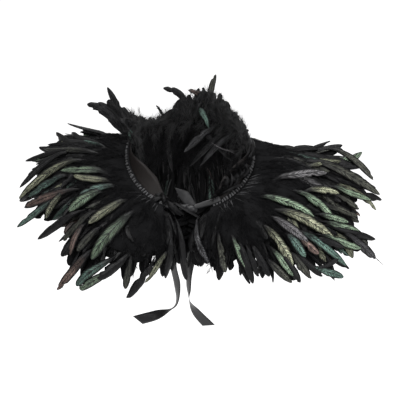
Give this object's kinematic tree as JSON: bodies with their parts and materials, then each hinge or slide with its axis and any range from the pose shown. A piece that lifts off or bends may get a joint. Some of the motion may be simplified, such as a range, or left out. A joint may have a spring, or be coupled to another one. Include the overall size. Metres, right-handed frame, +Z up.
{
  "type": "feather shawl",
  "caption": "Short feather shawl: overlapping plies of long black and green feathers and a stand-up feather collar on a satin neck band, tied in front with a ribbon.",
  "frame": {"origin": "middle of the neck opening, level with the band's lower edge at the back", "axes": "+Z up along the wearer's neck, the front with the ribbon tie faces -Y, +X is the right-hand wing as seen from the front"},
  "size_m": [0.5609, 0.2931, 0.3438],
  "materials": {
    "satin": "brownish black satin",
    "thread": "ribbed dark grey thread over quill ends",
    "black_feather": "black down and soft black vanes",
    "green_feather": "glossy black vanes with a green, teal and bronze sheen",
    "ribbon": "black satin ribbon"
  },
  "bodies": {
    "root": {"neck_band": "satin", "quill_header": "thread", "under_fringe": "green_feather", "over_fringe": "green_feather", "collar_fringe": "black_feather", "ribbon_tie": "ribbon", "ribbon_tail_left": "ribbon", "ribbon_tail_right": "ribbon"}
  },
  "joints": []
}
